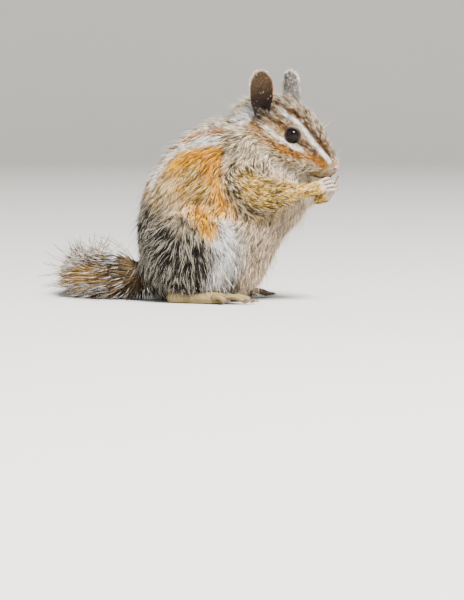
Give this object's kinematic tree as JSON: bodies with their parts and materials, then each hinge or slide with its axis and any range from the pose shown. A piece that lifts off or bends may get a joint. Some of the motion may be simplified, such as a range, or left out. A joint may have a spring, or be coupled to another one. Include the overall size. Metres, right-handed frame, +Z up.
{
  "type": "chipmunk",
  "caption": "Life-size chipmunk sitting up on its haunches, forepaws held together at its mouth, brush of a tail curled round on the ground.",
  "frame": {"origin": "on the ground under the seat, on the body's midplane", "axes": "+X is the way the body faces, +Y its left side, +Z up"},
  "size_m": [0.1073, 0.091, 0.0808],
  "materials": {
    "coat": "short soft fur, striped",
    "tail_coat": "long fur, frosted at its tips",
    "ear": "thin skin with fine down",
    "paw": "skin with very short hair",
    "eye": "wet, glossy"
  },
  "bodies": {
    "root": {"torso": "coat", "neck": "coat", "head": "coat", "eye_left": "eye", "eye_right": "eye", "ear_left": "ear", "ear_right": "ear", "haunch_left": "coat", "haunch_right": "coat", "upper_arm_left": "coat", "upper_arm_right": "coat", "forearm_left": "coat", "forearm_right": "coat", "forepaw_left": "paw", "forepaw_right": "paw", "hindfoot_left": "paw", "hindfoot_right": "paw", "tail_root": "tail_coat", "tail_middle": "tail_coat", "tail_tip": "tail_coat"}
  },
  "joints": []
}
